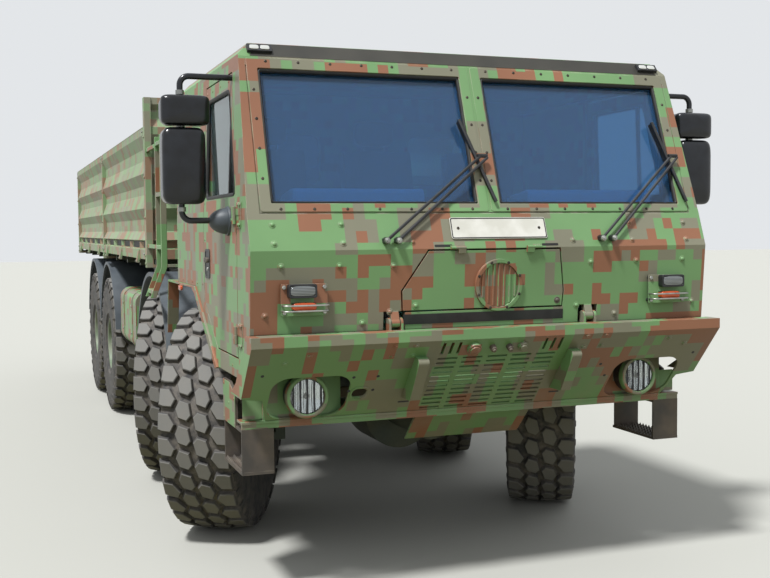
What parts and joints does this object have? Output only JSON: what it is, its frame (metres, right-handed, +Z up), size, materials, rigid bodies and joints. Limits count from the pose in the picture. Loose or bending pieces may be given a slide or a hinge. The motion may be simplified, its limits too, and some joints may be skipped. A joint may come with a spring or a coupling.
{
  "type": "eight-wheel military cargo truck",
  "caption": "Low-cab military cargo truck with four axles, backbone chassis, steered front wheels, opening doors, tilting cab and an open bed with folding corrugated sides.",
  "frame": {"origin": "on the ground, below the middle of the truck's bounding box", "axes": "+Z up, the truck faces -Y, +X is its left side"},
  "size_m": [3.165, 9.808, 2.79],
  "materials": {
    "camouflage_steel": "satin sprayed paint",
    "chassis_paint": "dull sprayed paint",
    "rubber_tyre": "dusty moulded rubber",
    "tinted_glass": "tinted laminated glass",
    "black_plastic": "moulded plastic",
    "grey_plastic": "moulded plastic",
    "seat_cloth": "woven cover",
    "trim_green": "painted trim",
    "lamp_metal": "lamp ring and reflector",
    "bare_grey": "dull grey paint"
  },
  "bodies": {
    "chassis": {"backbone_tube": "chassis_paint", "half_axles": "chassis_paint", "chassis_frame": "chassis_paint", "air_springs": "black_plastic", "engine": "bare_grey", "bumper": "camouflage_steel", "headlamps": "lamp_metal", "tow_hooks": "camouflage_steel", "boarding_steps": "bare_grey", "mudguards": "grey_plastic", "side_tanks": "camouflage_steel", "bed_floor": "chassis_paint", "bed_posts": "camouflage_steel", "ladder": "camouflage_steel", "intake_housing": "camouflage_steel", "spare_wheel": "rubber_tyre", "spare_carrier": "chassis_paint", "rear_beam": "chassis_paint"},
    "cab": {"cab_tub": "camouflage_steel", "cab_front": "camouflage_steel", "cab_roof": "camouflage_steel", "windscreens": "tinted_glass", "cab_fenders": "camouflage_steel", "seats": "seat_cloth", "dashboard": "trim_green", "steering_wheel": "black_plastic", "wipers": "black_plastic", "front_lamps": "lamp_metal"},
    "left_door": {"door_left": "camouflage_steel", "door_glass_left": "tinted_glass", "mirror_left": "black_plastic"},
    "right_door": {"door_right": "camouflage_steel", "door_glass_right": "tinted_glass", "mirror_right": "black_plastic"},
    "hatch": {"roof_hatch": "camouflage_steel"},
    "flap": {"front_flap": "camouflage_steel"},
    "side_front_left": {"dropside_front_left": "camouflage_steel"},
    "side_front_right": {"dropside_front_right": "camouflage_steel"},
    "side_rear_left": {"dropside_rear_left": "camouflage_steel"},
    "side_rear_right": {"dropside_rear_right": "camouflage_steel"},
    "rear_gate": {"tailgate": "camouflage_steel"},
    "wheel_1_left": {"wheel_1_left": "rubber_tyre"},
    "hub_1_left": {"knuckle_1_left": "chassis_paint"},
    "wheel_1_right": {"wheel_1_right": "rubber_tyre"},
    "hub_1_right": {"knuckle_1_right": "chassis_paint"},
    "wheel_2_left": {"wheel_2_left": "rubber_tyre"},
    "hub_2_left": {"knuckle_2_left": "chassis_paint"},
    "wheel_2_right": {"wheel_2_right": "rubber_tyre"},
    "hub_2_right": {"knuckle_2_right": "chassis_paint"},
    "wheel_3_left": {"wheel_3_left": "rubber_tyre"},
    "wheel_3_right": {"wheel_3_right": "rubber_tyre"},
    "wheel_4_left": {"wheel_4_left": "rubber_tyre"},
    "wheel_4_right": {"wheel_4_right": "rubber_tyre"}
  },
  "joints": [
    {"name": "cab_tilt", "type": "hinge", "parent": "chassis", "child": "cab", "pos_m": [0, -4.786, 1.345], "axis": [1, 0, 0], "range_deg": [0, 50]},
    {"name": "door_left", "type": "hinge", "parent": "cab", "child": "left_door", "pos_m": [1.262, -4.528, 1.9], "axis": [0, 0, -1], "range_deg": [0, 80]},
    {"name": "door_right", "type": "hinge", "parent": "cab", "child": "right_door", "pos_m": [-1.262, -4.528, 1.9], "axis": [0, 0, 1], "range_deg": [0, 80]},
    {"name": "roof_hatch", "type": "hinge", "parent": "cab", "child": "hatch", "pos_m": [0, -3.291, 2.73], "axis": [-1, 0, 0], "range_deg": [0, 100]},
    {"name": "front_flap", "type": "hinge", "parent": "cab", "child": "flap", "pos_m": [0, -4.818, 1.706], "axis": [-1, 0, 0], "range_deg": [0, 80]},
    {"name": "dropside_front_left", "type": "hinge", "parent": "chassis", "child": "side_front_left", "pos_m": [1.288, 0.034, 1.568], "axis": [0, 1, 0], "range_deg": [0, 160]},
    {"name": "dropside_front_right", "type": "hinge", "parent": "chassis", "child": "side_front_right", "pos_m": [-1.288, 0.034, 1.568], "axis": [0, -1, 0], "range_deg": [0, 160]},
    {"name": "dropside_rear_left", "type": "hinge", "parent": "chassis", "child": "side_rear_left", "pos_m": [1.288, 3.234, 1.568], "axis": [0, 1, 0], "range_deg": [0, 160]},
    {"name": "dropside_rear_right", "type": "hinge", "parent": "chassis", "child": "side_rear_right", "pos_m": [-1.288, 3.234, 1.568], "axis": [0, -1, 0], "range_deg": [0, 160]},
    {"name": "tailgate", "type": "hinge", "parent": "chassis", "child": "rear_gate", "pos_m": [0, 4.893, 1.568], "axis": [-1, 0, 0], "range_deg": [0, 170]},
    {"name": "steer_1_left", "type": "hinge", "parent": "chassis", "child": "hub_1_left", "pos_m": [0.9, -3.266, 0.672], "axis": [0, 0, 1], "range_deg": [-6, 62]},
    {"name": "spin_1_left", "type": "hinge", "parent": "hub_1_left", "child": "wheel_1_left", "pos_m": [1.04127, -3.34112, 0.672], "axis": [0.8829, -0.4695, 0], "continuous": true},
    {"name": "steer_1_right", "type": "hinge", "parent": "chassis", "child": "hub_1_right", "pos_m": [-0.9, -3.266, 0.672], "axis": [0, 0, 1], "range_deg": [-6, 62]},
    {"name": "spin_1_right", "type": "hinge", "parent": "hub_1_right", "child": "wheel_1_right", "pos_m": [-1.04127, -3.19088, 0.672], "axis": [0.8829, -0.4695, 0], "continuous": true},
    {"name": "steer_2_left", "type": "hinge", "parent": "chassis", "child": "hub_2_left", "pos_m": [0.9, -1.616, 0.672], "axis": [0, 0, 1], "range_deg": [-4.3, 44.3]},
    {"name": "spin_2_left", "type": "hinge", "parent": "hub_2_left", "child": "wheel_2_left", "pos_m": [1.05035, -1.67072, 0.672], "axis": [0.9397, -0.342, 0], "continuous": true},
    {"name": "steer_2_right", "type": "hinge", "parent": "chassis", "child": "hub_2_right", "pos_m": [-0.9, -1.616, 0.672], "axis": [0, 0, 1], "range_deg": [-4.3, 44.3]},
    {"name": "spin_2_right", "type": "hinge", "parent": "hub_2_right", "child": "wheel_2_right", "pos_m": [-1.05035, -1.56128, 0.672], "axis": [0.9397, -0.342, 0], "continuous": true},
    {"name": "spin_3_left", "type": "hinge", "parent": "chassis", "child": "wheel_3_left", "pos_m": [1.06, 1.484, 0.672], "axis": [1, 0, 0], "continuous": true},
    {"name": "spin_3_right", "type": "hinge", "parent": "chassis", "child": "wheel_3_right", "pos_m": [-1.06, 1.484, 0.672], "axis": [1, 0, 0], "continuous": true},
    {"name": "spin_4_left", "type": "hinge", "parent": "chassis", "child": "wheel_4_left", "pos_m": [1.06, 2.934, 0.672], "axis": [1, 0, 0], "continuous": true},
    {"name": "spin_4_right", "type": "hinge", "parent": "chassis", "child": "wheel_4_right", "pos_m": [-1.06, 2.934, 0.672], "axis": [1, 0, 0], "continuous": true}
  ],
  "couplings": [
    {"joint": "steer_1_right", "follows": "steer_1_left", "ratio": 1},
    {"joint": "steer_2_left", "follows": "steer_1_left", "ratio": 0.71429},
    {"joint": "steer_2_right", "follows": "steer_1_left", "ratio": 0.71429}
  ]
}
